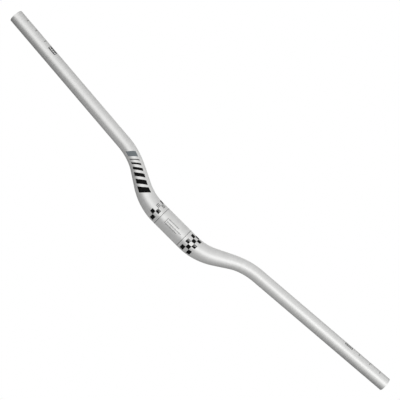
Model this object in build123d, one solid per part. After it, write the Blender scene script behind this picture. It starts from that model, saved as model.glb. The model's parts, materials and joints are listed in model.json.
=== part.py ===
from build123d import *
import os
from math import radians, tan

# Sizes in millimetres, angles in degrees.
# The clamp lies on X, the bar rises towards +Z and its arms sweep back towards +Y.

bar_width = 800.0          # between the centres of the two end faces
rise = 36.5                # height of the upper bend's corner over the clamp's axis
riser_angle = 29.5         # slope of the riser, seen from the front
upsweep = 4.5              # slope of the grip, seen from the front
backsweep = 8.0            # turn of the whole arm, seen from above

clamp_diameter = 31.8
clamp_wall = 2.5
clamp_length = 52.0        # parallel length that the stem holds
bend_lead = 5.0            # straight length between the clamp and the lower bend
lower_bend_radius = 90.0   # on the centreline
upper_bend_radius = 110.0  # on the centreline

grip_diameter = 22.2
grip_wall = 2.0
taper_length = 95.0        # along the centreline, from the clamp into the upper bend
taper_blend = 14.0         # length over which the taper eases in, and out again
taper_sections = 24        # circles that carry the taper through the bends

end_round = 0.8            # outer edge of each end
bore_chamfer = 0.5         # inner edge of each end

# Centreline of one arm, from the middle of the clamp to the end.
# Past the lower bend the arm lies in one upright plane.
upright = Vector(0, 0, 1)
back = tan(radians(backsweep))
clamp_line = Vector(1, 0, 0)
riser_line = Vector(1, back, tan(radians(riser_angle)))
grip_line = Vector(1, back, tan(radians(upsweep)))
lower_bend_turn = radians(clamp_line.get_angle(riser_line))
lower_bend_start = clamp_length / 2 + bend_lead
lower_corner = clamp_line * (lower_bend_start + lower_bend_radius * tan(lower_bend_turn / 2))
upper_corner = lower_corner + riser_line * (rise / riser_line.Z)
arm_end = upper_corner + grip_line * (bar_width / 2 - upper_corner.X)
arm_line = FilletPolyline(
    (0, 0, 0), lower_corner, upper_corner, arm_end, radius=[lower_bend_radius, upper_bend_radius]
)


# Share of the taper that is done at a share of its length: even, with a parabola at each end.
def eased(share):
    ease = taper_blend / taper_length
    near = min(share, 1 - share)
    if near < ease:
        done = near**2 / (2 * ease * (1 - ease))
    else:
        done = (near - ease / 2) / (1 - ease)
    return done if share < 0.5 else 1 - done


# A solid bar along the centreline, with one radius in the clamp and another in the grips.
def solid_bar(clamp_radius, grip_radius):
    sections = []
    for step in range(taper_sections + 1):
        share = step / taper_sections
        at = (clamp_length / 2 + share * taper_length) / arm_line.length
        along = arm_line % at
        across = Plane(arm_line @ at, x_dir=upright.cross(along), z_dir=along)
        sections.append(across * Circle(clamp_radius + (grip_radius - clamp_radius) * eased(share)))
    taper = loft(sections)
    taper_end = (clamp_length / 2 + taper_length) / arm_line.length
    grip = sweep(sections[-1], path=arm_line.trim(taper_end, 1))
    arm = taper + grip
    clamp = Cylinder(clamp_radius, clamp_length, rotation=(0, 90, 0))
    return clamp + arm + mirror(arm, about=Plane.YZ)


# The tube, open at both ends, with its wall thinning from the clamp to the grips.
outside = solid_bar(clamp_diameter / 2, grip_diameter / 2)
inside = solid_bar(clamp_diameter / 2 - clamp_wall, grip_diameter / 2 - grip_wall)
handlebar = outside - inside

end_faces = handlebar.faces().filter_by(GeomType.PLANE)
handlebar = fillet([face.outer_wire().edge() for face in end_faces], end_round)
end_faces = handlebar.faces().filter_by(GeomType.PLANE)
handlebar = chamfer([face.inner_wires()[0].edge() for face in end_faces], bore_chamfer)

os.makedirs("parts", exist_ok=True)
export_step(handlebar, "parts/handlebar.step")
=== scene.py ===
import bpy
import json
import math
import numpy as np
from mathutils import Matrix, Vector


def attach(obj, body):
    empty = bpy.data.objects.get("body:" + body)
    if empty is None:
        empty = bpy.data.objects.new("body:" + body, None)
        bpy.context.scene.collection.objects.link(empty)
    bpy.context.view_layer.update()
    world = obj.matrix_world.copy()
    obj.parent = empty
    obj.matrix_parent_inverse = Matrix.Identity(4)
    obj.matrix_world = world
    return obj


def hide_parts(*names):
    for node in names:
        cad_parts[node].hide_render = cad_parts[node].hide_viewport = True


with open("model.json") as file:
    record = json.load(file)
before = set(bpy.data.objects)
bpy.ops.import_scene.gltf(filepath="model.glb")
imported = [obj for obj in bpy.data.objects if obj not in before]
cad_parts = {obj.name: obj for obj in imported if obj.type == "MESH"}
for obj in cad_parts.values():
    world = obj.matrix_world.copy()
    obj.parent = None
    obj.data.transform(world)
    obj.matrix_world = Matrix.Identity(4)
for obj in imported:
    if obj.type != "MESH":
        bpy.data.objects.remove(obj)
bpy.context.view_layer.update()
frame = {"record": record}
mounts = {mount["name"]: mount for mount in frame["record"]["mounts"]}
scene = bpy.context.scene
scene.view_settings.view_transform = "Standard"
mm = 0.001   # shapes are worked out in mm and kept in m
print("frame loaded, mounts:", ", ".join(mounts))


# sRGB hex to linear: a straight part near black, then a power of 2.4.
def hexColour(code):
    value = np.array([int(code[i:i + 2], 16) for i in (1, 3, 5)]) / 255
    linear = np.where(value <= 0.04045, value / 12.92, ((value + 0.055) / 1.055) ** 2.4)
    return (*linear.tolist(), 1.0)


# Adds a node. Settings by name go on the node, inputs by name or number take a value or another
# node's socket, and stops are places from 0 to 1 on a colour ramp with the hex colours there.
def addNode(tree, kind, inputs=None, stops=(), **settings):
    node = tree.nodes.new("ShaderNode" + kind)
    for name, value in settings.items():
        setattr(node, name, value)
    for i, (place, code) in enumerate(stops):
        element = node.color_ramp.elements[i] if i < 2 else node.color_ramp.elements.new(place)
        element.position = place
        element.color = hexColour(code)
    for name, value in (inputs or {}).items():
        if isinstance(value, bpy.types.NodeSocket):
            tree.links.new(value, node.inputs[name])
        else:
            node.inputs[name].default_value = value
    return node


# A material with an empty node tree.
def newMaterial(name):
    material = bpy.data.materials.new(name)
    material.use_nodes = True
    material.node_tree.nodes.clear()
    return material, material.node_tree


# A mesh of four-sided faces, from whole arrays of points in mm, corner numbers and material numbers.
def makePiece(name, points, quads, materials, zones=None):
    mesh = bpy.data.meshes.new(name)
    mesh.vertices.add(len(points))
    mesh.vertices.foreach_set("co", (points * mm).astype(np.float32).ravel())
    mesh.loops.add(quads.size)
    mesh.loops.foreach_set("vertex_index", quads.astype(np.int32).ravel())
    mesh.polygons.add(len(quads))
    mesh.polygons.foreach_set("loop_start", np.arange(0, quads.size, 4, dtype=np.int32))
    mesh.polygons.foreach_set("use_smooth", np.ones(len(quads), dtype=bool))
    for material in materials:
        mesh.materials.append(material)
    if zones is not None:
        mesh.polygons.foreach_set("material_index", zones.astype(np.int32))
    mesh.update(calc_edges=True)
    piece = bpy.data.objects.new(name, mesh)
    scene.collection.objects.link(piece)
    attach(piece, "root")
    return piece


# Corner numbers of the faces of a grid whose last row and last column go on to the first ones.
def closedGrid(rows, columns):
    i, j = np.meshgrid(np.arange(rows), np.arange(columns), indexing="ij")
    iNext = (i + 1) % rows
    jNext = (j + 1) % columns
    corners = [i * columns + j, iNext * columns + j, iNext * columns + jNext, i * columns + jNext]
    return np.stack(corners, axis=-1).reshape(-1, 4)


barShape = dict(
    riserAngle=29.5,    # degrees, seen from the front
    bendLead=5.0,       # mm of straight tube between the clamp and the lower bend
    lowerBend=90.0,     # mm, on the centreline
    upperBend=110.0,
    taperLength=95.0,   # mm, from the clamp's end
    taperBlend=14.0,    # mm over which the taper eases in, and out again
    clampWall=2.5,
    endRound=0.8,
    boreChamfer=0.5,
    around=128,         # points round the tube
    clampRings=6,       # from the middle to the clamp's end
    bendStep=1.5,       # mm between rings in the bends
    straightStep=8.0,   # and on the straights
    roundRings=8,       # on the round of an end
    boreRings=15,       # on the straight of a bore
)
clampRadius = mounts["stem_clamp"]["dims"]["r_mm"]
clampEnd = mounts["stem_clamp"]["dims"]["length_mm"] / 2
gripRadius = mounts["grip_left"]["dims"]["r_mm"]
boreRadius = mounts["end_left"]["dims"]["r_mm"]

clampLine = np.array([1.0, 0.0, 0.0])
gripLine = np.array(mounts["grip_left"]["axis"])
gripReach = mounts["grip_left"]["dims"]["length_mm"] / 2 + barShape["endRound"]
armEnd = np.array(mounts["grip_left"]["pos_m"]) / mm + gripLine * gripReach
riserSlope = math.tan(math.radians(barShape["riserAngle"]))
riserLine = np.array([1.0, gripLine[1] / gripLine[0], riserSlope])
riserLine /= np.linalg.norm(riserLine)
lowerTurn = math.acos(clampLine @ riserLine)
upperTurn = math.acos(riserLine @ gripLine)
lowerIn = riserLine - clampLine * (riserLine @ clampLine)   # from each bend towards its centre
lowerIn /= np.linalg.norm(lowerIn)
upperIn = gripLine - riserLine * (gripLine @ riserLine)
upperIn /= np.linalg.norm(upperIn)
lowerCut = barShape["lowerBend"] * math.tan(lowerTurn / 2)
upperCut = barShape["upperBend"] * math.tan(upperTurn / 2)

# the riser's line and the grip's line meet in the upper corner
lowerStart = clampEnd + barShape["bendLead"]
lowerCornerX = lowerStart + lowerCut
gripSlope = gripLine[2] / gripLine[0]
upperCornerX = (armEnd[2] - armEnd[0] * gripSlope + lowerCornerX * riserSlope) / (riserSlope - gripSlope)
riserSpan = (upperCornerX - lowerCornerX) / riserLine[0]
gripSpan = (armEnd[0] - upperCornerX) / gripLine[0]
lowerEnd = lowerStart + barShape["lowerBend"] * lowerTurn
upperStart = lowerEnd + riserSpan - lowerCut - upperCut
upperEnd = upperStart + barShape["upperBend"] * upperTurn
armLength = upperEnd + gripSpan - upperCut


# Points of the centreline at lengths from the middle, and the direction there. It is a sum of runs
# and arcs, each filled as far as the length reaches: a run adds its direction times its length, an
# arc of turn k adds radius * sin(k) along its start and radius * (1 - cos(k)) towards its centre.
# The other arm is the mirror image.
def barLine(length):
    reach = np.abs(length)[..., None]
    lowerK = np.clip((reach - lowerStart) / barShape["lowerBend"], 0, lowerTurn)
    upperK = np.clip((reach - upperStart) / barShape["upperBend"], 0, upperTurn)
    point = clampLine * np.minimum(reach, lowerStart)
    point = point + barShape["lowerBend"] * (np.sin(lowerK) * clampLine + (1 - np.cos(lowerK)) * lowerIn)
    point = point + riserLine * np.clip(reach - lowerEnd, 0, upperStart - lowerEnd)
    point = point + barShape["upperBend"] * (np.sin(upperK) * riserLine + (1 - np.cos(upperK)) * upperIn)
    point = point + gripLine * np.maximum(reach - upperEnd, 0)
    inLower = np.cos(lowerK) * clampLine + np.sin(lowerK) * lowerIn
    inUpper = np.cos(upperK) * riserLine + np.sin(upperK) * upperIn
    heading = np.where(reach < lowerEnd, inLower, inUpper)
    side = np.where(length < 0, -1.0, 1.0)[..., None]
    same = np.ones_like(side)
    point = point * np.concatenate([side, same, same], axis=-1)
    heading = heading * np.concatenate([same, side, side], axis=-1)
    return point, heading


# Share of the taper done at a length from the middle: even, with a parabola at each end.
def taperShare(length):
    ease = barShape["taperBlend"] / barShape["taperLength"]
    share = np.clip((np.abs(length) - clampEnd) / barShape["taperLength"], 0, 1)
    near = np.minimum(share, 1 - share)
    done = np.where(near < ease, near**2 / (2 * ease * (1 - ease)), (near - ease / 2) / (1 - ease))
    return np.where(share < 0.5, done, 1 - done)


# From the clamp's radius to the grip's by the share of the taper.
def outerRadius(length):
    return clampRadius + (gripRadius - clampRadius) * taperShare(length)


# The same for the hollow, from the clamp's radius less its wall to the bore's.
def innerRadius(length):
    clampBore = clampRadius - barShape["clampWall"]
    return clampBore + (boreRadius - clampBore) * taperShare(length)


# A point at a length along the bar and an angle round it, from the front upwards: the centreline's
# point plus the radius times (cosine towards the front and sine upwards), both square to the line.
def barPoint(length, angle, radius):
    point, heading = barLine(length)
    up = np.array([0.0, 0.0, 1.0]) - heading * heading[..., 2:3]
    up /= np.linalg.norm(up, axis=-1, keepdims=True)
    front = np.cross(heading, up)
    return point + radius[..., None] * (np.cos(angle)[..., None] * front + np.sin(angle)[..., None] * up)


# Clear anodised aluminium, polished round the tube on a belt and then etched: a pale, even, silky
# metal whose highlight is broad and soft, with faint rings round the tube and a slight cloudiness.
anodised = dict(
    bright="#F3F3F2", dull="#EAEAE9",
    roughness=(0.41, 0.47),
    ringPitch=2.2,            # mm; belt marks are about 0.1 mm apart, drawn this coarse so that they show
    ringRun=30.0,             # mm round the tube before a belt mark fades
    ringRange=(0.3, 0.7),     # of the rings' noise, from smooth to rough
    cloudSize=(75.0, 45.0),   # mm along the tube and round it
    toneRange=(0.7, 1.3),     # of both noises added up, from dull to bright
    bump=0.02, bumpDepth=0.2,   # share and mm
)


# A noise drawn out round the tube gives the rings, and a broad one the clouds. Their sum sets the
# tone, and the rings set the roughness and the bump.
def anodisedAluminium():
    material, tree = newMaterial("satinAnodisedAluminium")
    place = addNode(tree, "Attribute", attribute_name="tubePlace").outputs["Vector"]
    along, across = (1 / (anodised[key] * mm) for key in ("ringPitch", "ringRun"))
    ringPlace = addNode(tree, "Mapping", {"Vector": place, "Scale": (along, across, across)})
    rings = addNode(tree, "TexNoise", {"Vector": ringPlace.outputs["Vector"], "Scale": 1.0,
                                       "Detail": 3.0, "Roughness": 0.6}).outputs["Fac"]
    along, across = (1 / (size * mm) for size in anodised["cloudSize"])
    cloudPlace = addNode(tree, "Mapping", {"Vector": place, "Scale": (along, across, across)})
    clouds = addNode(tree, "TexNoise", {"Vector": cloudPlace.outputs["Vector"], "Scale": 1.0,
                                        "Detail": 4.0, "Roughness": 0.55}).outputs["Fac"]
    blend = addNode(tree, "Math", {0: rings, 1: clouds}, operation="ADD").outputs["Value"]
    low, high = anodised["toneRange"]
    tone = addNode(tree, "MapRange", {"Value": blend, "From Min": low, "From Max": high})
    stops = ((0.0, anodised["dull"]), (1.0, anodised["bright"]))
    colour = addNode(tree, "ValToRGB", {"Fac": tone.outputs["Result"]}, stops)
    low, high = anodised["ringRange"]
    smooth, coarse = anodised["roughness"]
    rough = addNode(tree, "MapRange", {"Value": rings, "From Min": low, "From Max": high,
                                       "To Min": smooth, "To Max": coarse})
    bump = addNode(tree, "Bump", {"Height": rings, "Strength": anodised["bump"],
                                  "Distance": anodised["bumpDepth"] * mm})
    shader = addNode(tree, "BsdfPrincipled", {"Base Color": colour.outputs["Color"], "Metallic": 1.0,
                                              "Roughness": rough.outputs["Result"],
                                              "Normal": bump.outputs["Normal"]})
    addNode(tree, "OutputMaterial", {"Surface": shader.outputs["BSDF"]})
    return material


# Aluminium faced on a lathe at the cut ends: brighter than the sides, with fine rings round the hole.
turned = dict(
    bright="#F0F0EE", dull="#C9C9C6",
    roughness=0.28,
    feed=0.35,                  # mm a turn; a real cut is about 0.1 mm, drawn this coarse so that it shows
    bump=0.2, bumpDepth=0.03,   # share and mm
)


# The sine of the distance from the tube's axis, one wave for each feed, sets the tone and the bump.
def turnedAluminium():
    material, tree = newMaterial("turnedAluminium")
    place = addNode(tree, "Attribute", attribute_name="tubePlace").outputs["Vector"]
    axes = addNode(tree, "SeparateXYZ", {"Vector": place}).outputs
    across = addNode(tree, "CombineXYZ", {"Y": axes["Y"], "Z": axes["Z"]}).outputs["Vector"]
    fromAxis = addNode(tree, "VectorMath", {0: across}, operation="LENGTH").outputs["Value"]
    waves = 2 * math.pi / (turned["feed"] * mm)
    rings = addNode(tree, "Math", {0: fromAxis, 1: waves}, operation="MULTIPLY").outputs["Value"]
    wave = addNode(tree, "Math", {0: rings}, operation="SINE").outputs["Value"]
    tone = addNode(tree, "MapRange", {"Value": wave, "From Min": -1.0, "From Max": 1.0}).outputs["Result"]
    stops = ((0.0, turned["dull"]), (1.0, turned["bright"]))
    colour = addNode(tree, "ValToRGB", {"Fac": tone}, stops)
    bump = addNode(tree, "Bump", {"Height": tone, "Strength": turned["bump"],
                                  "Distance": turned["bumpDepth"] * mm})
    shader = addNode(tree, "BsdfPrincipled", {"Base Color": colour.outputs["Color"], "Metallic": 1.0,
                                              "Roughness": turned["roughness"],
                                              "Normal": bump.outputs["Normal"]})
    addNode(tree, "OutputMaterial", {"Surface": shader.outputs["BSDF"]})
    return material


# Drawn aluminium inside the tube: greyer than the outside, with long straight lines from the mandrel.
# Its oxide is half dull, so that the mouth of the bore stays grey and fades into the dark.
drawn = dict(
    bright="#B9B9B5", dull="#8C8C88",
    metallic=0.4, roughness=(0.42, 0.6),
    linePitch=1.2,              # mm round the bore; real lines are finer, drawn coarse so that they show
    lineRun=60.0,               # mm along the bore
    lineRange=(0.3, 0.7),       # of the lines' noise, from dull and smooth to bright and rough
    bump=0.15, bumpDepth=0.1,   # share and mm
)


# A noise drawn out along the bore gives the lines, which set the tone, the roughness and the bump.
def drawnAluminium():
    material, tree = newMaterial("drawnAluminium")
    place = addNode(tree, "Attribute", attribute_name="tubePlace").outputs["Vector"]
    along, across = (1 / (drawn[key] * mm) for key in ("lineRun", "linePitch"))
    linePlace = addNode(tree, "Mapping", {"Vector": place, "Scale": (along, across, across)})
    lines = addNode(tree, "TexNoise", {"Vector": linePlace.outputs["Vector"], "Scale": 1.0,
                                       "Detail": 3.0, "Roughness": 0.6}).outputs["Fac"]
    low, high = drawn["lineRange"]
    colour = addNode(tree, "ValToRGB", {"Fac": lines}, ((low, drawn["dull"]), (high, drawn["bright"])))
    smooth, coarse = drawn["roughness"]
    rough = addNode(tree, "MapRange", {"Value": lines, "From Min": low, "From Max": high,
                                       "To Min": smooth, "To Max": coarse})
    bump = addNode(tree, "Bump", {"Height": lines, "Strength": drawn["bump"],
                                  "Distance": drawn["bumpDepth"] * mm})
    shader = addNode(tree, "BsdfPrincipled", {"Base Color": colour.outputs["Color"],
                                              "Metallic": drawn["metallic"],
                                              "Roughness": rough.outputs["Result"],
                                              "Normal": bump.outputs["Normal"]})
    addNode(tree, "OutputMaterial", {"Surface": shader.outputs["BSDF"]})
    return material


# The tube's profile as lengths and radii: the outer wall, an end's round, its face and chamfer, the
# bore, and the other end back to the start. The zone is the finish from each ring to the next:
# 0 outside, 1 on a cut end, 2 in the bore.
def barProfile():
    step, endRound, chamfer = (barShape[key] for key in ("bendStep", "endRound", "boreChamfer"))
    clampRings = np.linspace(0, clampEnd, barShape["clampRings"], endpoint=False)
    bends = np.arange(clampEnd, upperEnd + step, step)
    lastRing = armLength - endRound
    straightCount = int((lastRing - bends[-1]) / barShape["straightStep"])
    straight = np.linspace(bends[-1], lastRing, straightCount)[1:]
    oneSide = np.concatenate([clampRings, bends, straight])
    wall = np.concatenate([-oneSide[:0:-1], oneSide])
    turn = np.linspace(0, math.pi / 2, barShape["roundRings"] + 1)[1:]
    roundLength = lastRing + endRound * np.sin(turn)
    roundRadius = gripRadius - endRound * (1 - np.cos(turn))
    # the bore has half as many rings as the outside
    boreStraight = np.linspace(bends[-1], armLength - chamfer, barShape["boreRings"] + 1)[1:]
    boreSide = np.concatenate([clampRings[::2], bends[::2], boreStraight])
    bore = np.concatenate([boreSide[::-1], -boreSide[1:]])
    rim = [boreRadius + chamfer]
    length = np.concatenate([wall, roundLength, [armLength], bore, [-armLength], -roundLength[::-1]])
    radius = np.concatenate([outerRadius(wall), roundRadius, rim, innerRadius(bore), rim, roundRadius[::-1]])
    outside = np.zeros(len(wall) + len(turn) - 1)
    zone = np.concatenate([outside, [1, 1], np.full(len(bore) - 1, 2), [1, 1], np.zeros(len(turn))])
    return length, radius, zone


# The profile carried round the tube, closed both ways. Each point keeps its place on the
# straightened tube for the materials.
def makeBar():
    length, radius, zone = barProfile()
    columns = barShape["around"]
    angle = np.arange(columns) * 2 * math.pi / columns
    lengths, angles = np.meshgrid(length, angle, indexing="ij")
    radii = np.broadcast_to(radius[:, None], lengths.shape)
    points = barPoint(lengths, angles, radii).reshape(-1, 3)
    quads = closedGrid(len(length), columns)
    finishes = [anodisedAluminium(), turnedAluminium(), drawnAluminium()]
    piece = makePiece("handlebarTube", points, quads, finishes, np.repeat(zone, columns))
    place = np.stack([lengths, radii * np.cos(angles), radii * np.sin(angles)], axis=-1) * mm
    piece.data.attributes.new("tubePlace", "FLOAT_VECTOR", "POINT")
    piece.data.attributes["tubePlace"].data.foreach_set("vector", place.astype(np.float32).ravel())
    # the rings at both edges of each end face and at the chamfer's inner edge stay crisp
    crispRows = np.nonzero(zone != np.roll(zone, 1))[0]
    crispRows = np.concatenate([crispRows, np.nonzero(np.abs(length) == armLength)[0]])
    ends = np.empty(len(piece.data.edges) * 2, dtype=np.int32)
    piece.data.edges.foreach_get("vertices", ends)
    edgeRows = ends.reshape(-1, 2) // columns
    crisp = (edgeRows[:, 0] == edgeRows[:, 1]) & np.isin(edgeRows[:, 0], crispRows)
    piece.data.attributes.new("sharp_edge", "BOOLEAN", "EDGE").data.foreach_set("value", crisp)
    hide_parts("handlebar")
    return piece


tube = makeBar()
print("tube:", len(tube.data.polygons), "faces,", round(armLength * 2, 1), "mm along its centreline")


# Matt screen ink: black takes nearly all light, grey has a cool cast, and both are a little paler
# where the screen left them thinner.
screenInk = dict(
    black=("#020202", "#141415"), grey=("#777D81", "#858B8F"),   # full and thin
    roughness=0.55, gloss=0.12,
    patch=3.0,                # mm between thin spots
    patchRange=(0.5, 0.8),    # of the noise, from full to thin
)


# A noise sets the colour between the full ink and the thin.
def mattInk(name, colours):
    material, tree = newMaterial(name)
    place = addNode(tree, "TexCoord").outputs["Object"]
    scale = 1 / (screenInk["patch"] * mm)
    spots = addNode(tree, "TexNoise", {"Vector": place, "Scale": scale, "Detail": 2.0})
    stops = zip(screenInk["patchRange"], colours)
    colour = addNode(tree, "ValToRGB", {"Fac": spots.outputs["Fac"]}, stops)
    shader = addNode(tree, "BsdfPrincipled", {"Base Color": colour.outputs["Color"],
                                              "Roughness": screenInk["roughness"],
                                              "Specular IOR Level": screenInk["gloss"]})
    addNode(tree, "OutputMaterial", {"Surface": shader.outputs["BSDF"]})
    return material


# Laser-etched oxide: the clear skin burnt to a dull grey, mottled by the pulses, with no gloss.
etched = dict(
    dark="#828280", pale="#AEAEAC",
    roughness=0.8, gloss=0.1,
    pulse=0.8,                 # mm; real pulses are far finer, drawn this coarse so that they show
    pulseRange=(0.35, 0.65),   # of the noise, from dark to pale
)


# A noise the size of the pulses sets the colour between dark and pale.
def etchedOxide():
    material, tree = newMaterial("laserEtchedOxide")
    place = addNode(tree, "TexCoord").outputs["Object"]
    scale = 1 / (etched["pulse"] * mm)
    pulses = addNode(tree, "TexNoise", {"Vector": place, "Scale": scale, "Detail": 2.0})
    stops = zip(etched["pulseRange"], (etched["dark"], etched["pale"]))
    colour = addNode(tree, "ValToRGB", {"Fac": pulses.outputs["Fac"]}, stops)
    shader = addNode(tree, "BsdfPrincipled", {"Base Color": colour.outputs["Color"],
                                              "Roughness": etched["roughness"],
                                              "Specular IOR Level": etched["gloss"]})
    addNode(tree, "OutputMaterial", {"Surface": shader.outputs["BSDF"]})
    return material


inkLift = 0.04   # mm above the metal, and as far below it
blackInk = mattInk("mattBlackScreenInk", screenInk["black"])
greyInk = mattInk("mattGreyScreenInk", screenInk["grey"])


# Patches on the bar: each has four corners as (length, angle), blended evenly across a grid and laid
# on the surface, once just above the metal and once just below, with side walls that close it.
def layPatches(name, corners, grid, material):
    across, around = grid
    a, b = np.meshgrid(np.linspace(0, 1, across), np.linspace(0, 1, around), indexing="ij")
    weights = np.stack([(1 - a) * (1 - b), a * (1 - b), a * b, (1 - a) * b], axis=-1)
    flat = np.einsum("uvc,pcx->puvx", weights, corners)
    length = flat[..., 0]
    angle = np.radians(flat[..., 1])
    both = [barPoint(length, angle, outerRadius(length) + lift) for lift in (inkLift, -inkLift)]
    points = np.stack(both, axis=1)
    count, size = len(corners), across * around
    index = np.arange(size).reshape(across, around)
    top = np.stack([index[:-1, :-1], index[1:, :-1], index[1:, 1:], index[:-1, 1:]], axis=-1).reshape(-1, 4)
    loop = np.concatenate([index[:-1, 0], index[-1, :-1], index[:0:-1, -1], index[0, :0:-1]])
    onward = np.roll(loop, -1)
    walls = np.stack([loop, loop + size, onward + size, onward], axis=-1)
    one = np.concatenate([top, top[:, ::-1] + size, walls])
    quads = (one[None] + (np.arange(count) * 2 * size)[:, None, None]).reshape(-1, 4)
    makePiece(name, points.reshape(-1, 3), quads, [material])
    print(name + ":", count, "patches")


# Rectangles on the straightened tube, by their middles and sizes in mm along and degrees round,
# leaning by a length over their height. Whole arrays of them at once.
def patchCorners(length, angle, wide, high, lean=0.0):
    length, angle, wide, high, lean = np.broadcast_arrays(length, angle, wide, high, lean)
    w, h, k = wide / 2, high / 2, lean / 2
    lengths = np.stack([length - w - k, length + w - k, length + w + k, length - w + k], axis=-1)
    angles = np.stack([angle - h, angle - h, angle + h, angle + h], axis=-1)
    return np.stack([lengths, angles], axis=-1).reshape(-1, 4, 2)


# A rectangle broken into an even grid of dots, each a share of its cell.
def dottedCorners(length, angle, wide, high, grid, share):
    i, j = np.meshgrid(np.arange(grid[0]), np.arange(grid[1]), indexing="ij")
    cellWide = wide / grid[0]
    cellHigh = high / grid[1]
    dotLength = length + (i + 0.5) * cellWide - wide / 2
    dotAngle = angle + (j + 0.5) * cellHigh - high / 2
    return patchCorners(dotLength, dotAngle, cellWide * share, cellHigh * share)


# On the bend the print keeps its lengths on the surface: past the bend's start, a printed length is
# divided by 1 - radius * inward / bend radius, where inward is how far the angle points to its centre.
def onBend(corners):
    length = corners[..., 0]
    angle = np.radians(corners[..., 1])
    past = np.maximum(np.abs(length) - lowerStart, 0)
    inward = np.sin(angle) * lowerIn[2] - np.cos(angle) * lowerIn[1]
    stretch = 1 - clampRadius * inward / barShape["lowerBend"]
    bent = np.sign(length) * (np.abs(length) - past + past / stretch)
    return np.stack([bent, corners[..., 1]], axis=-1)


checks = dict(
    wide=6.3,                                                # mm on the surface, enough for corners to meet
    columns=(-38.2, -32.0, 31.8, 38.0, 44.2),                # mm on the surface
    rowEdges=(-61.0, -27.5, -5.0, 17.5, 40.0, 62.5, 85.0),   # degrees from the front
    # checks as (column, row), counted from the left and from below
    solid=((0, 1), (0, 5), (1, 0), (2, 0), (2, 4), (3, 1), (3, 3), (3, 5), (4, 0), (4, 4)),
    facing=((1, 2), (2, 2), (4, 2)),                         # solid below; above, dots that are painted highlight
    # checks of dots alone: painted highlight where the light washes over the black ink
    faded=((0, 3), (1, 4)),
    # dots along and round, and their share of a cell, where painted highlight breaks a check's black ink
    # into dots
    screenGrid=(4, 2), screenShare=0.86,
    fadedGrid=(3, 3), fadedShare=0.62,
    grid=(4, 7),                                             # points along and round each patch
)


# Checks on both sides of the clamp: whole ones, ones whose upper half is dots, and ones of dots alone; the
# dots are painted highlight, where the light washes over the ink.
# A row's angle is the mean of its edges, and its height their difference.
def makeChecks():
    wide = checks["wide"]
    length = np.array(checks["columns"])
    edges = np.array(checks["rowEdges"])
    angle = (edges[1:] + edges[:-1]) / 2
    high = np.diff(edges)
    i, j = np.array(checks["solid"]).T
    corners = [patchCorners(length[i], angle[j], wide, high[j])]
    # the dotted upper halves and the checks of dots alone paint the highlight on the ink
    for i, j in checks["facing"]:
        corners.append(patchCorners(length[i], angle[j] - high[j] / 4, wide, high[j] / 2))
        corners.append(dottedCorners(length[i], angle[j] + high[j] / 4, wide, high[j] / 2,
                                     checks["screenGrid"], checks["screenShare"]))
    for i, j in checks["faded"]:
        corners.append(dottedCorners(length[i], angle[j], wide, high[j],
                                     checks["fadedGrid"], checks["fadedShare"]))
    layPatches("checkBand", onBend(np.concatenate(corners)), checks["grid"], blackInk)


makeChecks()

riserBars = dict(
    start=-66.0,                                         # mm along the bar
    wide=(9.0, 7.5, 6.0, 4.5, 3.0, 1.5, 9.0), gap=4.5,   # mm; the last one is grey
    angle=4.0, high=74.0, lean=7.0,                      # degrees, degrees, mm
    grid=(9, 25),
)


# Leaning bars up the riser, six black ones that get thinner and then a wide grey one. Each one's
# middle is the start less all widths and gaps before it and half its own width.
def makeRiserBars():
    wide = np.array(riserBars["wide"])
    place = riserBars["start"] - np.cumsum(wide + riserBars["gap"]) + riserBars["gap"] + wide / 2
    corners = patchCorners(place, riserBars["angle"], wide, riserBars["high"], riserBars["lean"])
    layPatches("riserBars", corners[:-1], riserBars["grid"], blackInk)
    layPatches("greyRiserBar", corners[-1:], riserBars["grid"], greyInk)


makeRiserBars()

clampScale = dict(
    rows=((17.0, 13), (0.5, 18), (-13.0, 14)),          # degrees from the front, and ticks in the row
    first=-10.7, pitch=1.6,                             # mm along the clamp
    tick=0.65, short=6.0, tall=9.0, tallEvery=5,        # mm, degrees, degrees, ticks
    datum=-13.4, datumAngle=2.0, datumHigh=34.0,        # mm, degrees, degrees
    grid=(2, 13),
)


# Rows of evenly spaced ticks for setting the bar in its stem, every fifth one taller, beside a datum line.
def makeClampScale():
    corners = [patchCorners(clampScale["datum"], clampScale["datumAngle"], clampScale["tick"],
                            clampScale["datumHigh"])]
    for angle, count in clampScale["rows"]:
        step = np.arange(count)
        place = clampScale["first"] + step * clampScale["pitch"]
        high = np.where(step % clampScale["tallEvery"] == 0, clampScale["tall"], clampScale["short"])
        corners.append(patchCorners(place, angle, clampScale["tick"], high))
    layPatches("clampScale", np.concatenate(corners), clampScale["grid"], blackInk)


makeClampScale()

trimMarks = dict(
    places=(19.8, 40.3, 61.8), wide=1.7, angle=56.0, high=27.0,   # mm from each end, mm, degrees, degrees
    tick=0.7, ticks=5, overlap=0.3,                               # mm, number, degrees into a rail
    # side, start and length in mm from the end, angles of the two rails and their heights in degrees
    rulers=((-1, 73.6, 15.0, (35.0, 61.0), (8.0, 12.0)), (1, 75.8, 14.4, (47.0, 61.0), (4.0, 6.0))),
    grid=(4, 9),
)


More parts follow.
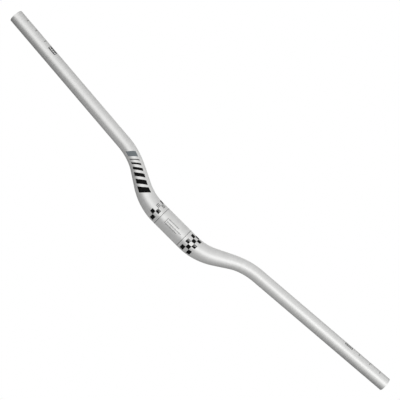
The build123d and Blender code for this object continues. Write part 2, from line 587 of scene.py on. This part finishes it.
# Cutting marks etched near each end, then a short printed ruler of two rails, with evenly spaced ticks
# from the upper edge of one rail to the lower edge of the other.
def makeTrimMarks():
    marks, rulers = [], []
    fromEnd = np.array(trimMarks["places"])
    for side, start, long, angle, high in trimMarks["rulers"]:
        place = side * (armLength - fromEnd)
        marks.append(patchCorners(place, trimMarks["angle"], trimMarks["wide"], trimMarks["high"]))
        place = side * (armLength - start - long / 2)
        rulers.append(patchCorners(place, np.array(angle), long, np.array(high)))
        half = trimMarks["tick"] / 2
        place = side * (armLength - start - np.linspace(half, long - half, trimMarks["ticks"]))
        low = angle[0] + high[0] / 2 - trimMarks["overlap"]
        top = angle[1] - high[1] / 2 + trimMarks["overlap"]
        rulers.append(patchCorners(place, (low + top) / 2, trimMarks["tick"], top - low))
    layPatches("cuttingMarks", np.concatenate(marks), trimMarks["grid"], etchedOxide())
    layPatches("endRulers", np.concatenate(rulers), trimMarks["grid"], blackInk)


makeTrimMarks()

clampLines = dict(places=(-23.8, 23.6), wide=0.6)    # mm


# A ring: a thin rectangle of length and lift, carried round the tube and closed both ways.
def makeClampLines():
    columns = barShape["around"]
    angle = np.arange(columns) * 2 * math.pi / columns
    half = clampLines["wide"] / 2
    offset = np.array([-half, half, half, -half])
    lifts = np.array([inkLift, inkLift, -inkLift, -inkLift])
    places = np.array(clampLines["places"])
    shape = (len(places), len(offset), columns)
    length = np.broadcast_to(places[:, None, None] + offset[None, :, None], shape)
    angles = np.broadcast_to(angle, shape)
    radii = clampRadius + np.broadcast_to(lifts[None, :, None], shape)
    points = barPoint(length, angles, radii).reshape(-1, 3)
    ringStart = np.arange(len(places)) * len(offset) * columns
    quads = closedGrid(len(offset), columns)[None] + ringStart[:, None, None]
    makePiece("clampLines", points, quads.reshape(-1, 4), [blackInk])
    print("clampLines:", len(places), "rings")


makeClampLines()

studio = dict(
    floorHeight=-0.9, floorReach=16.0,   # m
    floor="#DADAD9",
    floorFade=(1.6, 4.6),                # m from the bar, where the floor turns into the white backdrop
    # backdrop by height of the direction, where 0 is level and 1 overhead
    sky=((0.15, "#FFFFFF"), (0.4, "#F4F4F4"), (0.65, "#E3E3E3"), (1.0, "#C2C2C2")),
    # grey cards that only the metal sees: the two below draw the darker underside and its lower edge,
    # the one above and behind draws the upper edge; heights and outlines in m, greys from side to side
    cards=(
        dict(name="lowerCard", height=-0.22,
             outline=((-1.0, 0.08), (-1.0, -0.25), (-0.35, -0.25), (-0.12, -0.6),
                      (0.04, -0.6), (0.16, -0.15), (1.0, -0.05), (1.0, 0.08)),
             greys=((-0.42, "#A0A0A0"), (-0.26, "#BEBEBE"), (-0.12, "#AEAEAE"), (0.0, "#C6C6C6"),
                    (0.3, "#C0C0C0"), (0.42, "#A6A6A6"))),
        dict(name="backCard", height=-0.22,
             outline=((-1.0, 0.08), (1.0, 0.08), (1.0, 0.9), (-1.0, 0.9)),
             greys=((-0.45, "#808080"), (0.0, "#BCBCBC"), (0.45, "#888888"))),
        dict(name="upperCard", height=0.55,
             outline=((-1.2, 0.25), (1.2, 0.25), (1.2, 1.2), (-1.2, 1.2)),
             greys=((-0.4, "#D4D4D4"), (0.0, "#FFFFFF"), (0.4, "#D0D0D0"))),
    ),
    keyPlace=(1.3, -2.4, 0.53), keySize=(1.6, 1.3), keyPower=3.1,     # m, m, W
    topPlace=(0.4, -0.17, 1.7), topSize=(1.8, 1.2), topPower=1.05,
)


# A flat, level sheet inside an outline.
def makeSheet(name, outline, height, material):
    mesh = bpy.data.meshes.new(name)
    mesh.from_pydata([(x, y, height) for x, y in outline], [], [tuple(range(len(outline)))])
    mesh.materials.append(material)
    sheet = bpy.data.objects.new(name, mesh)
    scene.collection.objects.link(sheet)
    return sheet


# A pale painted floor that fades into a white glow by its distance from the bar.
def makeFloor():
    material, tree = newMaterial("palePaintedFloor")
    place = addNode(tree, "TexCoord").outputs["Object"]
    far = addNode(tree, "VectorMath", {0: place}, operation="LENGTH").outputs["Value"]
    near, end = studio["floorFade"]
    fade = addNode(tree, "MapRange", {"Value": far, "From Min": near, "From Max": end},
                   interpolation_type="SMOOTHSTEP")
    paint = addNode(tree, "BsdfDiffuse", {"Color": hexColour(studio["floor"])})
    glow = addNode(tree, "Emission", {"Color": hexColour("#FFFFFF"), "Strength": 1.0})
    mix = addNode(tree, "MixShader", {0: fade.outputs["Result"], 1: paint.outputs["BSDF"],
                                      2: glow.outputs["Emission"]})
    addNode(tree, "OutputMaterial", {"Surface": mix.outputs["Shader"]})
    reach = studio["floorReach"]
    outline = ((-reach, -reach), (reach, -reach), (reach, reach), (-reach, reach))
    makeSheet("floor", outline, studio["floorHeight"], material)
    print("floor at", studio["floorHeight"], "m")


# Cards of matt paper whose grey changes from side to side, between 1 m to the left and 1 m to the right.
def makeCards():
    for card in studio["cards"]:
        material, tree = newMaterial(card["name"] + "Paper")
        place = addNode(tree, "TexCoord").outputs["Object"]
        side = addNode(tree, "SeparateXYZ", {"Vector": place}).outputs["X"]
        share = addNode(tree, "MapRange", {"Value": side, "From Min": -1.0, "From Max": 1.0})
        stops = [((at + 1) / 2, code) for at, code in card["greys"]]
        grey = addNode(tree, "ValToRGB", {"Fac": share.outputs["Result"]}, stops)
        paper = addNode(tree, "BsdfDiffuse", {"Color": grey.outputs["Color"]})
        addNode(tree, "OutputMaterial", {"Surface": paper.outputs["BSDF"]})
        sheet = makeSheet(card["name"], card["outline"], card["height"], material)
        sheet.visible_camera = False
        sheet.visible_diffuse = False
        sheet.visible_shadow = False
    print("cards:", len(studio["cards"]))


# A white backdrop all round, greyer overhead, by the height of the direction.
def makeBackdrop():
    scene.world = bpy.data.worlds.new("studioWorld")
    scene.world.use_nodes = True
    tree = scene.world.node_tree
    tree.nodes.clear()
    direction = addNode(tree, "TexCoord").outputs["Generated"]
    height = addNode(tree, "SeparateXYZ", {"Vector": direction}).outputs["Z"]
    share = addNode(tree, "MapRange", {"Value": height, "From Min": -1.0, "From Max": 1.0})
    stops = [((at + 1) / 2, code) for at, code in studio["sky"]]
    sky = addNode(tree, "ValToRGB", {"Fac": share.outputs["Result"]}, stops)
    glow = addNode(tree, "Background", {"Color": sky.outputs["Color"], "Strength": 1.0})
    addNode(tree, "OutputWorld", {"Surface": glow.outputs["Background"]})
    print("backdrop")


# A softbox: an even rectangle of light that faces the middle of the bar.
def makeSoftbox(name, place, size, power):
    data = bpy.data.lights.new(name, "AREA")
    data.shape = "RECTANGLE"
    data.size, data.size_y = size
    data.energy = power
    lamp = bpy.data.objects.new(name, data)
    scene.collection.objects.link(lamp)
    facing = (-Vector(place)).to_track_quat("-Z", "Y").to_matrix().to_4x4()
    lamp.matrix_world = Matrix.Translation(place) @ facing
    lamp.visible_camera = False
    print("lamp:", name)


makeFloor()
makeCards()
makeBackdrop()
makeSoftbox("keySoftbox", studio["keyPlace"], studio["keySize"], studio["keyPower"])
makeSoftbox("topSoftbox", studio["topPlace"], studio["topSize"], studio["topPower"])

view = dict(
    distance=4.0,                    # m, in front of the clamp
    aim=(0.00036, 0.0, 0.05807),     # m
    yaw=-0.67,                       # degrees, round the upright; the camera stands a little to one side
    roll=44.988,                     # degrees; the bar lies across the picture from corner to corner
    frameWidth=0.60572,              # m, at the clamp
    sensorWidth=36.0,                # mm
    clipEnd=60.0,                    # m
)


# A long lens, whose length is the sensor's width times the distance over the frame's width. Yaw turns
# the camera round the upright, and roll turns the picture.
def makeCamera():
    data = bpy.data.cameras.new("camera")
    data.sensor_width = view["sensorWidth"]
    data.lens = view["sensorWidth"] * view["distance"] / view["frameWidth"]
    data.clip_end = view["clipEnd"]
    camera = bpy.data.objects.new("camera", data)
    scene.collection.objects.link(camera)
    yaw, roll = math.radians(view["yaw"]), math.radians(view["roll"])
    across = Vector((math.cos(yaw), -math.sin(yaw), 0.0))
    upright = Vector((0.0, 0.0, 1.0))
    back = across.cross(upright)
    right = across * math.cos(roll) + upright * math.sin(roll)
    turn = Matrix((right, back.cross(right), back)).transposed().to_4x4()
    camera.matrix_world = Matrix.Translation(Vector(view["aim"]) + back * view["distance"]) @ turn
    scene.camera = camera
    print("camera: lens", round(data.lens, 1), "mm")


makeCamera()
